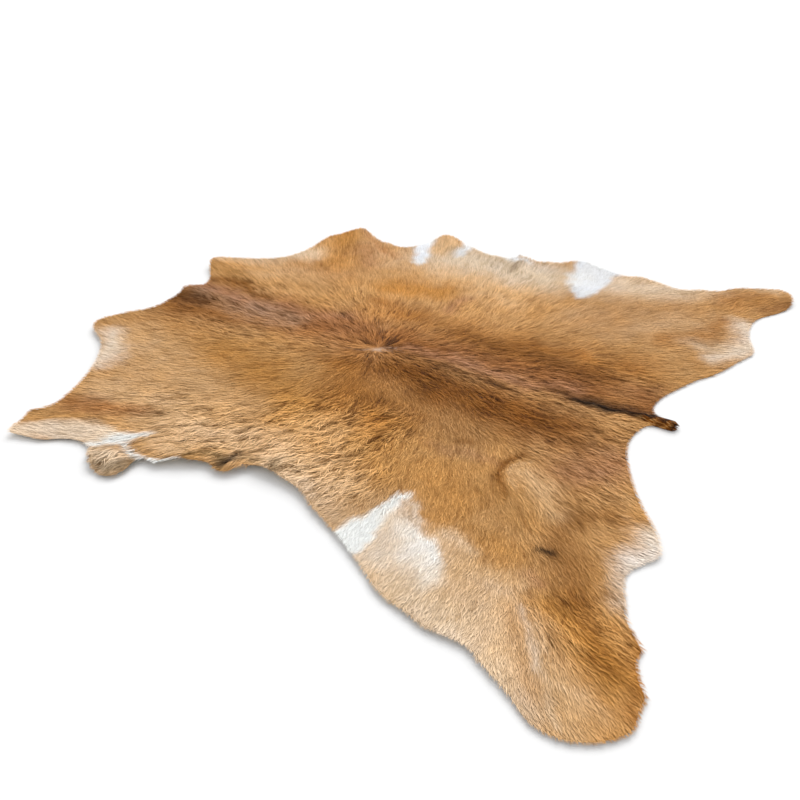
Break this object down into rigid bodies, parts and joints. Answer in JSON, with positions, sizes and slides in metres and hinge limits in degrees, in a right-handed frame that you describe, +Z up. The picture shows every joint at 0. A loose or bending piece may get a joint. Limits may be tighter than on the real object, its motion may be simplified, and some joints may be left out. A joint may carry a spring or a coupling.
{
  "type": "cowhide rug",
  "caption": "Small cowhide rug with its hair on, spread flat with the hair side up: cut legs, a tail stub, a side flap, raised folds and curled edges.",
  "frame": {"origin": "middle of the bounding box of the spread hide, on the floor", "axes": "+X along the back from the neck to the tail, +Y to the animal's right side, which the picture shows at the far side, +Z up out of the hair"},
  "size_m": [1.0774, 1.117, 0.019],
  "materials": {
    "hide_coat": "hair-on hide: short red-brown hair with cream and white patches, matt, darker along the back"
  },
  "bodies": {
    "root": {"hide": "hide_coat"}
  },
  "joints": []
}
